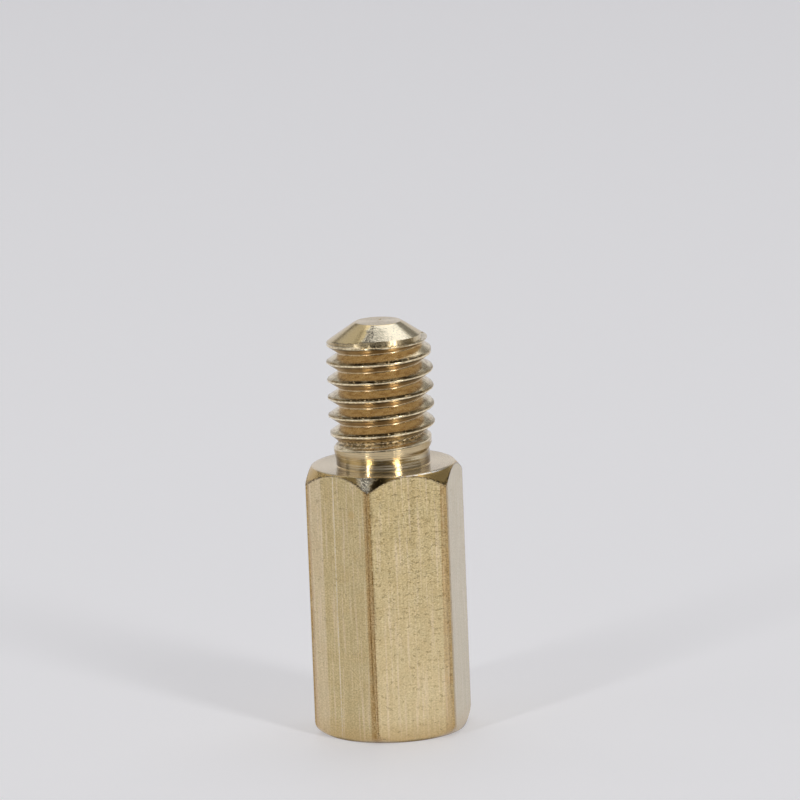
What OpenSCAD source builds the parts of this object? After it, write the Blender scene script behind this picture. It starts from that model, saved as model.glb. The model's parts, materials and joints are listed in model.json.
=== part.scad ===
// Male-female hex standoff, turned in one piece from drawn hexagonal brass bar.
// It stands on its tapped end. The origin is the centre of that end face, and +Z
// runs up the axis to the tip of the stud. Two flats face -Y and +Y, and two
// corners lie on -X and +X. All sizes are in millimetres.
//
// The stud and the hole are plain here: the stud has the thread's outside
// diameter and the hole has the diameter that is drilled before tapping.

/* [Body] */
// Size of the hexagon across its flats
across_flats = 8; // [6.5:0.5:14]
// Length of the hexagonal body, from the foot to the shoulder
body_length = 15; // [12.5:0.5:60]
// How far each corner of the drawn bar falls short of a sharp one
corner_break = 0.045; // [0.01:0.005:0.2]
// How far inside the flats the crown and foot chamfers start
chamfer_inset = 0.03; // [0.01:0.01:0.4]
// Slope of the crown chamfer, measured from the shoulder
crown_angle = 52; // [15:1:65]
// Slope of the foot chamfer, measured from the foot
foot_angle = 45; // [15:1:65]

/* [Stud] */
// Outside diameter of the stud's thread, a little under its nominal 6
stud_d = 5.9; // [4:0.1:7.4]
// Length of the stud, from the shoulder to the tip
stud_length = 8; // [5:0.5:30]
// How deep the plain neck is cut below the outside of the thread
neck_cut = 0.35; // [0.1:0.05:0.7]
// Length of the plain neck, from the shoulder to where it starts to widen
neck_length = 0.8; // [0.3:0.1:2.5]
// Slope of the cone that widens the neck to the thread, measured from the axis
runout_angle = 15; // [15:5:60]
// Diameter of the flat on the stud's tip
tip_flat_d = 2.6; // [1:0.1:2.8]
// Slope of the tip chamfer, measured from the tip flat
tip_angle = 34; // [20:1:50]

/* [Tapped hole] */
// Diameter of the hole in the foot before it is tapped
hole_d = 5; // [2.5:0.1:6]
// Depth of the hole, up to where its drill point starts
hole_depth = 10.5; // [4:0.1:12.6]
// Diameter of the countersink at the mouth of the hole
sink_d = 6.2; // [5.4:0.1:6.3]
// Full angle of the countersink
sink_angle = 90; // [60:5:120]
// Full angle of the drill point at the bottom of the hole
point_angle = 118; // [90:1:140]

/* [Hidden] */

// Cutting tools reach this far past the face that they cut
past = 1;

// Radius of the bar's corners, where two flats would meet, and after blunting
sharp_corner_r = across_flats / 2 / cos(30);
corner_r = sharp_corner_r - corner_break;

// Radius at which both end chamfers start
land_r = across_flats / 2 - chamfer_inset;

// Where things lie along the axis
shoulder_z = body_length;
neck_top_z = shoulder_z + neck_length;
thread_z = neck_top_z + neck_cut / tan(runout_angle);
tip_z = shoulder_z + stud_length;
tip_cone_z = tip_z - (stud_d - tip_flat_d) / 2 * tan(tip_angle);

// Radius of the plain neck
neck_r = stud_d / 2 - neck_cut;

// Depth of the countersink, and height of the drill point
sink_depth = max(0, sink_d - hole_d) / 2 / tan(sink_angle / 2);
point_height = hole_d / 2 / tan(point_angle / 2);

// The drawn bar: a hexagon with slightly blunted corners
module bar()
{
    intersection()
    {
        cylinder(h = body_length, r = sharp_corner_r, $fn = 6);
        cylinder(h = body_length, r = corner_r, $fn = 96);
    }
}

// The turned envelope that chamfers both ends of the bar, seen as a half section
module end_chamfers()
{
    reach_r = corner_r + past;
    foot_rise = (reach_r - land_r) * tan(foot_angle);
    crown_drop = (reach_r - land_r) * tan(crown_angle);
    rotate_extrude($fn = 96)
        polygon([
            [0, 0],
            [land_r, 0],
            [reach_r, foot_rise],
            [reach_r, body_length - crown_drop],
            [land_r, body_length],
            [0, body_length]
        ]);
}

module body()
{
    intersection()
    {
        bar();
        end_chamfers();
    }
}

// The stud as one turned profile, rooted a little way down inside the body
module stud()
{
    rotate_extrude($fn = 96)
        polygon([
            [0, shoulder_z - past],
            [neck_r, shoulder_z - past],
            [neck_r, neck_top_z],
            [stud_d / 2, thread_z],
            [stud_d / 2, tip_cone_z],
            [tip_flat_d / 2, tip_z],
            [0, tip_z]
        ]);
}

// What the drill and the countersink take out of the foot
module hole()
{
    rotate_extrude($fn = 96)
        polygon([
            [0, -past],
            [sink_d / 2 + past * tan(sink_angle / 2), -past],
            [hole_d / 2, sink_depth],
            [hole_d / 2, hole_depth],
            [0, hole_depth + point_height]
        ]);
}

module standoff()
{
    color("#B9A777")
        difference()
        {
            union()
            {
                body();
                stud();
            }
            hole();
        }
}

standoff();
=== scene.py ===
# %% [markdown]
# # A brass hex standoff
#
# This lesson builds the looks of a male-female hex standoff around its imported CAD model. The real one
# is a short length of hexagonal brass bar. A lathe has turned one end down to a stud, chamfered both
# ends and drilled and tapped the foot, and a thread has been rolled onto the stud. The CAD model has
# the right sizes but a plain stud and a plain hole, so one new mesh with true threads stands for it.

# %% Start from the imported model
import functools
import json
import math

import bmesh
import bpy
import numpy as np
from mathutils import Matrix, Vector


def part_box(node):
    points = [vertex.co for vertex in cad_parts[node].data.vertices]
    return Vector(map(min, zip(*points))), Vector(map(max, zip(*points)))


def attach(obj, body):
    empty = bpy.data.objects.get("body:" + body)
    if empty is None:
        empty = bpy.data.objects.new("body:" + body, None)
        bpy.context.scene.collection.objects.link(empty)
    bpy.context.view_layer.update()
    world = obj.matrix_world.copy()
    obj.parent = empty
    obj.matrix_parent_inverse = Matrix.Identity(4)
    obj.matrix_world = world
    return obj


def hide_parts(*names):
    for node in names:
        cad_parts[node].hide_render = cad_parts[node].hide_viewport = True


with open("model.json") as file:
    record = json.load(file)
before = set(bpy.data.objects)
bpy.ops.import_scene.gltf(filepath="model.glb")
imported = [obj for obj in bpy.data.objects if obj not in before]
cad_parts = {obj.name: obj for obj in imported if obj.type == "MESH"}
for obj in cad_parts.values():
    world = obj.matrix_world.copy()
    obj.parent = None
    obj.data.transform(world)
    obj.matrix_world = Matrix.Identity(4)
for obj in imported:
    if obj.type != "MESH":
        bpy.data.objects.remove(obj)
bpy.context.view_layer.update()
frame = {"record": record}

# %% [markdown]
# ## Sizes
#
# Everything below is worked out in millimetres and turned into metres once, at the end. The outer
# sizes come from the imported model: the box of its one node, and the two round mounts in its record,
# which say where the thread's outside and the tapping hole are. What the record doesn't hold is
# written here: the length of the body, the angles of the chamfers and the thread's pitch.

# %% Read the outer sizes
MM = 0.001
low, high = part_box("standoff")
mounts = {mount["name"]: mount for mount in frame["record"]["mounts"]}

corner_r = high.x / MM
half_flats = high.y / MM
tip_z = high.z / MM
crest_r = mounts["stud"]["dims"]["r_mm"]
drill_r = mounts["tapped_hole"]["dims"]["r_mm"]

body_z = 15.0
# Both end chamfers start just inside the flats
land_r = half_flats - 0.03
crown_slope = math.tan(math.radians(52))
foot_slope = math.tan(math.radians(45))
tip_flat_r = 1.3
tip_slope = math.tan(math.radians(34))
neck_r = 2.605
pitch = 1.0
print("corner radius", round(corner_r, 3), "half across flats", round(half_flats, 3),
      "tip height", round(tip_z, 3), "crest radius", crest_r, "drill radius", drill_r)

# %% [markdown]
# ## Repeatable unevenness
#
# No machined edge is perfect. One small function gives a smooth random wave along a length, from -1
# to 1, with a given spacing in millimetres between its peaks. Its seed is fixed, so the standoff
# comes out the same each time.

# %% A seeded wave
WAVE_STEPS = 4096


def uneven(along, spacing, seed):
    """A wave from -1 to 1 that runs smoothly from one random value to the next."""
    table = np.random.default_rng(seed).uniform(-1, 1, WAVE_STEPS)
    place = np.asarray(along, float) / spacing
    cell = np.floor(place).astype(int)
    share = place - cell
    share = share * share * (3 - 2 * share)
    return table[cell % WAVE_STEPS] * (1 - share) + table[(cell + 1) % WAVE_STEPS] * share


print("a sample of the wave:", np.round(uneven(np.arange(5) * 0.3, 0.5, 1), 3))

# %% [markdown]
# ## Spokes
#
# The whole standoff is drawn round one axis, so one set of spokes can carry all of it: each spoke
# runs from the tip, down the stud, over the shoulder, down the flats and into the hole. A lathe works
# the same way. The spokes are about a degree apart, and closer together beside the six corners of the
# hexagon, where the bar's surface turns quickly.

# %% Lay out the spokes
# Degrees from the middle of a face to each spoke. The band beside the corner starts at the crease
half_face = np.concatenate([np.linspace(1.1, 24.2, 22), [25.3, 26.3, 27.3, 28.2, 28.9, 29.35, 29.7]])
crease_spoke = 25.3
face_spokes = np.concatenate([-half_face[::-1], [0.0], half_face])
face_middle_deg = np.arange(30, 360, 60)
spoke_deg = np.concatenate([np.concatenate([[middle - 30.0], middle + face_spokes])
                            for middle in face_middle_deg])
spoke_count = len(spoke_deg)
spoke_face = np.repeat(np.arange(6), spoke_count // 6)
spoke_turn = np.radians(spoke_deg)
print(spoke_count, "spokes, the closest", round(float(np.diff(spoke_deg).min()), 2), "degrees apart")

# %% [markdown]
# ## The drawn bar
#
# Hexagonal bar is pulled through a die. The die leaves its flats true in the middle, lets them fall
# away a few hundredths of a millimetre in a narrow band beside each corner, and rounds the corner
# itself. That band has its own clean inner edge and takes the light differently, so it is built as
# shape. Its width changes a little from corner to corner and from one end to the other.

# %% The bar's cross-section
face_half_width = half_flats * math.tan(math.radians(30))
corner_drop = 0.0294
corner_round = 0.111
# Width of the band in mm at the top and at the foot, by face and by side: -1 is the side before the
# face's middle and 1 the side after it
band_top = {(0, -1): 0.34, (0, 1): 0.42, (1, -1): 0.38, (1, 1): 0.30, (2, -1): 0.44, (2, 1): 0.35,
            (3, -1): 0.30, (3, 1): 0.31, (4, -1): 0.12, (4, 1): 0.40, (5, -1): 0.30, (5, 1): 0.36}
band_foot = {(0, -1): 0.30, (0, 1): 0.40, (1, -1): 0.44, (1, 1): 0.33, (2, -1): 0.38, (2, 1): 0.42,
             (3, -1): 0.36, (3, 1): 0.34, (4, -1): 0.14, (4, 1): 0.56, (5, -1): 0.32, (5, 1): 0.33}


def bar_spoke(index, z, keep_round=1.0):
    """Angle in degrees and radius in mm of one spoke on the drawn bar at height z."""
    middle = face_middle_deg[spoke_face[index]]
    offset = spoke_deg[index] - middle
    if abs(offset + 30.0) < 1e-9:
        return spoke_deg[index], corner_r
    side = 1 if offset >= 0 else -1
    key = (int(spoke_face[index]), side)
    width = band_top[key] + (band_foot[key] - band_top[key]) * (1 - z / body_z)
    crease = math.degrees(math.atan((face_half_width - width) / half_flats))
    bent = np.interp(abs(offset), [0, crease_spoke, 30], [0, crease, 30])
    bent = abs(offset) + (bent - abs(offset)) * keep_round
    slope = corner_drop / width
    inner = face_half_width - width
    phi = math.radians(bent)
    if bent <= crease + 1e-9:
        radius = half_flats / math.cos(phi)
    else:
        radius = (half_flats + slope * inner) / (math.cos(phi) + slope * math.sin(phi))
    # The rounded corner cuts in where its circle lies inside the band
    from_corner = math.radians(30 - bent)
    arc_centre = corner_r - corner_round
    under_root = corner_round ** 2 - (arc_centre * math.sin(from_corner)) ** 2
    if under_root > 0:
        radius = min(radius, arc_centre * math.cos(from_corner) + math.sqrt(under_root))
    return middle + side * bent, radius


print("bar radius at a corner", bar_spoke(0, 7)[1], "and next to it", round(bar_spoke(1, 7)[1], 4))

# %% [markdown]
# ## The rolled thread
#
# A thread can be cut away or pressed in. This one was rolled: two dies press grooves into a plain
# blank, and the displaced metal rises between them. Three things give that away. The crests are
# slightly double, with a fine torn seam where the metal from both sides has met. The plain blank shows
# at the bottom, a step wider than the neck, with the last groove fading out into it. And at the top
# the first crest stands as a low lip, a little proud of the chamfer.
#
# The profile is given once, as radius against height over one pitch, with flanks at 60 degrees. It is
# then laid round the stud on a right-handed helix.

# %% Profile of one pitch
blank_r = 2.70
root_r = 2.335
crest_rise = [-0.10, -0.075, -0.045, -0.010, 0.015, 0.035, 0.065, 0.095, 0.12]
crest_drop = [0.058, 0.030, 0.011, 0.000, 0.014, 0.075, 0.095, 0.060, 0.090]
flank_rise = [0.18, 0.30, 0.40]
profile_rise = np.array([-0.465] + [-r for r in flank_rise[::-1]] + crest_rise + flank_rise + [0.465, 0.5])
profile_rise = np.unique(np.round(profile_rise, 4))


def flank(rise, start_rise, start_r):
    return start_r - (np.abs(rise) - start_rise) * (start_r - root_r - 0.01) / (0.465 - start_rise)


def pitch_profile(rise, seam=1.0):
    """Radius of the full thread at a height above or below its crest, in mm."""
    rise = np.asarray(rise, float)
    crest = crest_r - np.interp(rise, crest_rise, crest_drop) * seam
    lower = flank(rise, 0.10, crest_r - crest_drop[0])
    upper = flank(rise, 0.12, crest_r - crest_drop[-1])
    radius = np.where(rise < -0.10, lower, np.where(rise > 0.12, upper, crest))
    return np.where(np.abs(rise) > 0.465, root_r + 0.01 * (0.5 - np.abs(rise)) / 0.035, radius)


print(len(profile_rise), "rows a pitch; flank half-angle",
      round(math.degrees(math.atan2(0.34, crest_r - crest_drop[0] - root_r)), 1), "degrees")

# %% [markdown]
# ## Where the thread starts and ends
#
# Heights along the helix are measured at the crest, so each rule below is a short table of crest or
# groove height against radius: how high the crest rises near both ends, how deep the last groove is
# pressed, how far down the blank reaches, and how the lip at the tip grows and dies away. The angle
# that the tables use is measured from the side on which the camera will stand.

# %% Rules for both ends of the thread
front_deg = 252.146
front_crest_z = 0.07
# Crest height along the stud against the crest's greatest radius, then groove height against its depth
crest_at_z = [[16.1, 16.3, 16.86, 17.1, 21.10, 21.32, 21.57, 21.82, 22.07, 22.30, 22.45],
              [2.712, 2.715, 2.88, 2.96, 2.96, 2.870, 2.875, 2.915, 2.83, 2.66, 2.50]]
groove_at_z = [[15.62, 15.80, 16.33, 16.65], [0.0, 0.27, 0.70, 1.0]]
blank_foot_z, blank_soft = 15.54, 0.26
under_edge_z, under_edge_high = 15.96, 0.20
under_edge = [[-180, 24, 80, 90.0, 110, 180], [0.0, 0.0, 0.085, 0.085, 0.0, 0.0]]
# Round the tip, by angle: the cone's foot, the lip's edge, and how high the lip's top and foot lie
lip_deg = [-180, -135, -110, -90, -45, -18, 0, 25, 45, 90, 110, 130, 150, 180]
rim_r = [2.50, 2.52, 2.76, 2.83, 2.66, 2.46, 2.38, 2.38, 2.41, 2.34, 2.30, 2.28, 2.38, 2.50]
lip_r = [2.43, 2.56, 2.86, 2.90, 2.86, 2.82, 2.80, 2.78, 2.75, 2.67, 2.74, 2.86, 2.80, 2.43]
lip_top = [22.04, 22.04, 21.95, 21.925, 21.98, 22.01, 22.02, 22.03, 22.04, 22.05, 22.07, 22.11, 22.09,
           22.04]
lip_foot = [21.94, 21.94, 21.82, 21.78, 21.83, 21.88, 21.90, 21.92, 21.93, 21.93, 21.95, 21.98, 21.97,
            21.94]
full_turn_mm = 2 * math.pi * crest_r


def step_between(value, start, end):
    share = np.clip((value - start) / (end - start), 0, 1)
    return share * share * (3 - 2 * share)


def off_front(angle_deg):
    return (angle_deg - front_deg + 180) % 360 - 180


def stud_radius(angle_deg, z):
    """Radius of the stud in mm below the lip, for arrays of angles and heights."""
    from_front = off_front(angle_deg)
    rise = (z - front_crest_z - from_front / 360 + 0.5) % pitch - 0.5
    crest_z = z - rise
    groove_z = crest_z + np.where(rise >= 0, 0.5, -0.5)
    along = crest_z * full_turn_mm

    # The seam on the crest, torn a little deeper or shallower from place to place
    torn = uneven(along, 0.10, 11)
    seam = 0.85 + 0.45 * uneven(along, 0.45, 12) + 0.30 * torn
    radius = pitch_profile(rise, np.clip(seam, 0.1, 1.7))
    near_seam = np.exp(-((rise - 0.07) / 0.03) ** 2)
    radius = radius + near_seam * (0.014 * torn + 0.012 * uneven(along, 0.27, 19))
    # The rough bottom of the last groove, and crests that aren't quite level
    low_root = step_between(groove_z, 17.0, 16.5) * step_between(np.abs(rise), 0.36, 0.5)
    radius = radius + low_root * (0.008 * torn + 0.014 * uneven(along, 0.37, 17))
    on_crest = np.exp(-((rise + 0.03) / 0.05) ** 2)
    radius = radius + on_crest * (0.008 * uneven(along, 0.35, 13) + 0.006 * uneven(along, 1.3, 18))

    # How high the crest stands here, and how deep the groove is pressed
    top = np.interp(crest_z, *crest_at_z)
    radius = np.minimum(radius, top + 0.004 * torn * (np.abs(rise) < 0.2))
    depth = np.interp(groove_z, *groove_at_z)
    radius = np.where(radius < blank_r, blank_r - (blank_r - radius) * depth, radius)

    # Below the thread comes the plain blank, cut back under part of its edge, and then the neck
    cut_back = np.interp(from_front, *under_edge) * step_between(under_edge_z - z, 0, under_edge_high)
    blank_step = step_between(z, blank_foot_z - blank_soft, blank_foot_z + blank_soft)
    neck = neck_r + 0.003 * uneven(z, 0.2, 14)
    plain = (np.minimum(radius, blank_r) - cut_back) * blank_step + neck * (1 - blank_step)
    radius = np.where(radius <= blank_r + 1e-9, plain, np.where(blank_step < 1, plain, radius))

    # Metal pushed up under the lip, held inside the taper of the stud's end
    under_lip = np.interp(from_front, lip_deg, lip_r) - 0.05
    under_lip = under_lip - 1.6 * (np.interp(from_front, lip_deg, lip_foot) - z)
    below_tip = crest_r - 0.35 * np.maximum(0, z - 21.6)
    return np.minimum(np.maximum(radius, under_lip), below_tip)


sample_z = np.linspace(15.1, 22.2, 400)
print("stud radius runs from", round(float(stud_radius(np.full(400, 200.0), sample_z).min()), 3),
      "to", round(float(stud_radius(np.full(400, 200.0), sample_z).max()), 3), "mm")

# %% [markdown]
# ## A skin of patches
#
# The skin is made of patches that share their border points, so it closes without any gap. A patch
# holds, for each spoke and each row, the number of a point and its place on the surface in
# millimetres, which the finishes will read as a UV map. On plain patches the rows are rings. On the
# threads each row climbs by one pitch a turn and meets the row above it where the turn closes. Rows
# that would pass an end of the thread stop on its ring instead, and the quads there shrink to
# triangles.

# %% Collect points and faces
points = []
face_corners, face_uvs, face_finish = [], [], []
FINISHES = ["drawn", "burnished", "turned", "necked", "chamfered", "rolled", "tapped"]


def add_ring(ring):
    """Adds one ring of (x, y, z) points in mm, and returns their numbers."""
    start = len(points)
    points.extend(map(tuple, ring))
    return list(range(start, start + len(ring)))


def add_quads(numbers, uvs, finish):
    """Fills a patch: numbers[row][spoke], with one spoke more than the turn has, and a UV for each."""
    rows, spokes = len(numbers), len(numbers[0])
    for row in range(rows - 1):
        for spoke in range(spokes - 1):
            places = ((row, spoke), (row + 1, spoke), (row + 1, spoke + 1), (row, spoke + 1))
            corners, corner_uvs = [], []
            for r, s in places:
                if numbers[r][s] not in corners:
                    corners.append(numbers[r][s])
                    corner_uvs.append(uvs[r][s])
            if len(corners) > 2:
                face_corners.append(corners)
                face_uvs.append(corner_uvs)
                face_finish.append(finish if isinstance(finish, str) else finish[spoke])


def ring_points(radii, heights, degrees=None):
    angle = np.radians(spoke_deg if degrees is None else degrees)
    radii = np.broadcast_to(np.asarray(radii, float), angle.shape)
    heights = np.broadcast_to(np.asarray(heights, float), angle.shape)
    return np.stack([radii * np.cos(angle), radii * np.sin(angle), heights], 1)


turn_mm = np.append(spoke_deg, 360.0) / 360 * 10


def close(ring):
    return list(ring) + [ring[0]]


def ring_uvs(along):
    return [(turn, along) for turn in turn_mm]


# %% [markdown]
# ### The tip
#
# The end of the stud is the faced end of the bar: a small flat with fine rings, a softened rim, and a
# tiny dimple near its middle where the cutting-off tool let go. Below the rim comes the chamfer cone.
# The dimple is pressed into the rings by a small bell-shaped dip.

# %% Build the tip
dimple_deg, dimple_out, dimple_wide, dimple_deep = front_deg + 165, 0.42, 0.07, 0.035


def faced_tip_height(radius):
    angle = spoke_turn - math.radians(dimple_deg)
    away = np.sqrt(radius ** 2 + dimple_out ** 2 - 2 * radius * dimple_out * np.cos(angle))
    dip = dimple_deep * np.exp(-(away / dimple_wide) ** 2)
    return tip_z - 0.006 * (radius / tip_flat_r) ** 2 - dip


tip_radii = [0.08, 0.18, 0.26, 0.32, 0.37, 0.42, 0.47, 0.52, 0.58, 0.68, 0.82, 1.0, 1.15, 1.24]
tip_rings = [add_ring(ring_points(radius, faced_tip_height(radius))) for radius in tip_radii]
rim = [(1.272, -0.008), (1.292, -0.016), (1.31, -0.027)]
for radius, drop in rim:
    tip_rings.append(add_ring(ring_points(radius, tip_z + drop + 0.002 * uneven(spoke_deg, 4, 21))))
tip_along = [0] + tip_radii + [radius for radius, drop in rim]
tip_centre = add_ring([(0, 0, float(tip_z))])[0]
numbers = [[tip_centre] * (spoke_count + 1)] + [close(ring) for ring in tip_rings]
# A turn's first and last spoke share a point, and the innermost rows all share the centre
add_quads(numbers, [ring_uvs(along) for along in tip_along], "turned")
print("tip built, with", len(tip_rings), "rings")

# %% [markdown]
# ### The chamfer cone and the lip
#
# The dies pushed the first crest up round the foot of the cone into a thin lip. It is wide on one side
# and folds away into the cone on the other, and in front the seam where it was torn shows. Rings fit
# this better than helix rows, because the lip runs level: each of the seven has its own radius and
# height at every spoke, read from the tables above and made a little uneven.

# %% Build the chamfer cone and the lip
lip_from_front = off_front(spoke_deg)
lip_along = spoke_deg / 360 * full_turn_mm
lip_torn = uneven(lip_along, 0.23, 51) * uneven(lip_along, 0.9, 53)
lip_wave = uneven(lip_along, 0.8, 52)
rim_at = np.interp(lip_from_front, lip_deg, rim_r) + 0.010 * lip_torn + 0.015 * lip_wave
rim_z = tip_z - (rim_at - tip_flat_r) * tip_slope
lip_at = np.interp(lip_from_front, lip_deg, lip_r) + 0.006 * lip_wave
lip_top_z = np.interp(lip_from_front, lip_deg, lip_top) + 0.010 * lip_torn + 0.008 * lip_wave
lip_foot_z = np.interp(lip_from_front, lip_deg, lip_foot)
foot_of_lip = stud_radius(spoke_deg, lip_foot_z)
valley_z = np.minimum(lip_top_z - 0.015, rim_z - 0.012)
seam_here = 0.01 + 0.06 * np.interp(lip_from_front, [-180, -75, -38, 26, 60, 180], [0, 0, 1, 1, 0, 0])

cone_numbers, cone_v = [close(tip_rings[-1])], [0.0]
for share in (0.15, 0.35, 0.6, 0.85, 1.0):
    radii = rim[-1][0] + (rim_at - rim[-1][0]) * share
    cone_numbers.append(close(add_ring(ring_points(radii, tip_z - (radii - tip_flat_r) * tip_slope))))
    cone_v.append(share)
add_quads(cone_numbers, [ring_uvs(2 + v) for v in cone_v], "chamfered")

# Each row of the lip: its radius, its height, and the part of the thread's profile whose finish it has
lip_wide = lip_at - rim_at
lip_rows = [(rim_at + 0.004, rim_z - 0.010, seam_here),
            (rim_at - 0.004, rim_z * 0.4 + valley_z * 0.6, seam_here),
            (rim_at + 0.10 * lip_wide, valley_z + 0.06 * lip_torn * lip_wide, seam_here),
            (rim_at + 0.55 * lip_wide, (valley_z + lip_top_z) / 2 + 0.08 * lip_torn * lip_wide,
             seam_here * 0.2),
            (np.maximum(lip_at - 0.11, rim_at), lip_top_z, seam_here * 0),
            (lip_at, lip_top_z - 0.035, seam_here * 0 - 0.03),
            (lip_at - 0.025, (lip_top_z + lip_foot_z) / 2, seam_here * 0 - 0.05)]
lip_numbers, lip_uvs = [cone_numbers[-1]], []
turned_by = 22 * full_turn_mm + np.append(lip_along, full_turn_mm)
for radii, heights, profile_place in lip_rows:
    lip_numbers.append(close(add_ring(ring_points(radii, heights))))
    lip_uvs.append(list(zip(turned_by, close(profile_place))))
lip_uvs = [lip_uvs[0]] + lip_uvs + [[(u, -0.09) for u in turned_by]]
ring_high = add_ring(ring_points(foot_of_lip, lip_foot_z))
lip_numbers.append(close(ring_high))
add_quads(lip_numbers, lip_uvs, "rolled")
print("lip built, from", round(float(lip_foot_z.min()), 3), "to", round(float(rim_z.max()), 3), "mm")

# %% [markdown]
# ### The stud
#
# Helix rows carry the thread from the neck to the lip. Their heights at a spoke are the profile's own
# break points, so crests and roots stay crisp all the way round. Low on the stud the blank was only
# turned, so those faces are picked out afterwards and given the neck's finish and its kind of UV map.

# %% Rows that climb a helix
# In mm: points nearer to an end ring than this join it, and rows further past it are left out
RING_GAP, ROW_REACH = 0.002, 0.3


def helix_rows(profile, first_turn, turns, phase, low_z, high_z, radius_at, ring_low, ring_high, angles):
    """Numbers and UVs of helix rows between two rings; each row climbs one pitch a turn."""
    count = len(angles)
    crests = np.repeat(np.arange(first_turn, first_turn + turns), len(profile))
    rises = np.tile(profile, turns)
    closed = np.append(angles, angles[0] + 360)
    low_z = np.append(low_z, low_z[0]) + RING_GAP
    high_z = np.append(high_z, high_z[0]) - RING_GAP
    crest_heights = crests[:, None] + phase + (closed[None, :] - angles[0]) / 360 * pitch
    heights = crest_heights + rises[:, None]
    radii = radius_at(np.broadcast_to(closed, heights.shape), heights)
    numbers = [[-1] * (count + 1) for _ in rises]
    for row in range(len(rises)):
        for spoke in range(count + 1):
            if heights[row, spoke] <= low_z[spoke]:
                numbers[row][spoke] = ring_low[spoke % count]
            elif heights[row, spoke] >= high_z[spoke]:
                numbers[row][spoke] = ring_high[spoke % count]
            elif spoke < count:
                angle = math.radians(closed[spoke])
                numbers[row][spoke] = len(points)
                points.append((radii[row, spoke] * math.cos(angle), radii[row, spoke] * math.sin(angle),
                               heights[row, spoke]))
    for row in range(len(rises) - len(profile)):
        numbers[row][count] = numbers[row + len(profile)][0]
    placed = np.clip(heights, low_z, high_z)
    uvs = [list(zip(crest_heights[row] * full_turn_mm, placed[row] - crest_heights[row]))
           for row in range(len(rises))]
    keep = [row for row in range(len(rises) - len(profile))
            if heights[row].max() > low_z.min() - ROW_REACH
            and heights[row].min() < high_z.max() + ROW_REACH]
    return [numbers[row] for row in keep], [uvs[row] for row in keep]


print("the thread runs", round(full_turn_mm, 2), "mm round in each turn and climbs", pitch, "mm")

# %% Build the stud
stud_low = np.full(spoke_count, body_z + 0.05)
first_turn = math.floor(stud_low.min()) - 2
turns_drawn = math.ceil(lip_foot_z.max()) - first_turn + 3

ring_low = add_ring(ring_points(stud_radius(spoke_deg, stud_low), stud_low))
start_phase = front_crest_z + (spoke_deg[0] - front_deg) / 360 * pitch
numbers, uvs = helix_rows(profile_rise, first_turn, turns_drawn, start_phase, stud_low, lip_foot_z,
                          stud_radius, ring_low, ring_high, spoke_deg)
stud_start = len(face_corners)
add_quads(numbers[::-1], uvs[::-1], "rolled")
plain_faces = 0
# Height above which the blank was rolled. It climbs with the last groove as far as 60 degrees round,
# and drops from there to where that groove began
rolled_above = [[-180, 60, 180], [16.19, 16.19, 15.19]]
for face in range(stud_start, len(face_corners)):
    place = np.array([points[corner] for corner in face_corners[face]])
    radius = np.hypot(place[:, 0], place[:, 1])
    on_blank = (np.abs(radius - blank_r) < 0.02) | (radius < blank_r)
    side = off_front(math.degrees(math.atan2(place[0, 1], place[0, 0])))
    if (place[:, 2] < np.interp(side, *rolled_above) + side / 360).all() and on_blank.all():
        turn = np.degrees(np.arctan2(place[:, 1], place[:, 0])) % 360
        turn = np.where((turn < 90) & (turn.max() > 270), turn + 360, turn)
        face_finish[face] = "necked"
        face_uvs[face] = list(zip(turn / 36, place[:, 2]))
        plain_faces += 1
print("stud built, with", len(face_corners) - stud_start, "faces,", plain_faces, "of them only turned")

# %% [markdown]
# ### Shoulder and crown
#
# The tool that turned the neck also faced the shoulder, and a chamfer tool took the corners off the
# bar. Where that cone meets the flats it leaves the scalloped edge of every hex fitting: low at the
# corners and just touching the top at the middle of each flat. The flats' own radius gives the height
# of that edge, so the scallops need no cutting at all.

# %% Build the shoulder and the crown
shoulder_profile = ([(neck_r + 0.004, 15.02), (neck_r + 0.02, 15.004)]
                    + [(radius, 15.0) for radius in (2.66, 2.8, 3.1, 3.4, 3.7)])
shoulder_rings = [close(ring_low)]
for radius, z in shoulder_profile:
    shoulder_rings.append(close(add_ring(ring_points(radius, z))))
# The tool rounded the rim more on one side than on the other
rim_wide = np.interp(off_front(spoke_deg), [-180, -2, 12, 50, 75, 180],
                     [0.045, 0.045, 0.12, 0.12, 0.045, 0.045])
RIM_SLOPE = 0.53
rim_foot_z = body_z - RIM_SLOPE * rim_wide
for share, drop in ((1.0, 0.0), (0.5, 0.36), (0.0, 1.0)):
    heights = body_z - RIM_SLOPE * rim_wide * drop
    shoulder_rings.append(close(add_ring(ring_points(land_r - rim_wide * share, heights))))
shoulder_v = [4.0] + [1.5 + r for r, z in shoulder_profile] + [5.40, 5.45, 5.50]
add_quads(shoulder_rings, [ring_uvs(v) for v in shoulder_v], "turned")

bar_top = [bar_spoke(index, body_z) for index in range(spoke_count)]
top_deg = np.array([degrees for degrees, radius in bar_top])
top_r = np.array([radius for degrees, radius in bar_top])
# One knock has nicked the edge on the left
nick_deg, nick_wide, nick_deep = front_deg - 54.0, 1.6, 0.07
nick = nick_deep * np.exp(-((top_deg - nick_deg) / nick_wide) ** 2) * (1 + 0.5 * uneven(top_deg, 0.7, 31))
edge_z = body_z - (top_r - land_r) * crown_slope - nick + 0.006 * uneven(top_deg * 0.08, 0.12, 33)
crown_rings = [shoulder_rings[-1]]
crown_along = [0.0]
for share in (0.2, 0.4, 0.6, 0.8, 1.0):
    degrees = spoke_deg + (top_deg - spoke_deg) * share
    radii = land_r + (top_r - land_r) * share
    heights = rim_foot_z + (edge_z - rim_foot_z) * share
    crown_rings.append(close(add_ring(ring_points(radii, heights, degrees))))
    crown_along.append(share)
add_quads(crown_rings, [ring_uvs(7 + along) for along in crown_along], "chamfered")
print("crown built; its edge runs from", round(float(edge_z.min()), 3), "to", round(float(edge_z.max()), 3))

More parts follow.
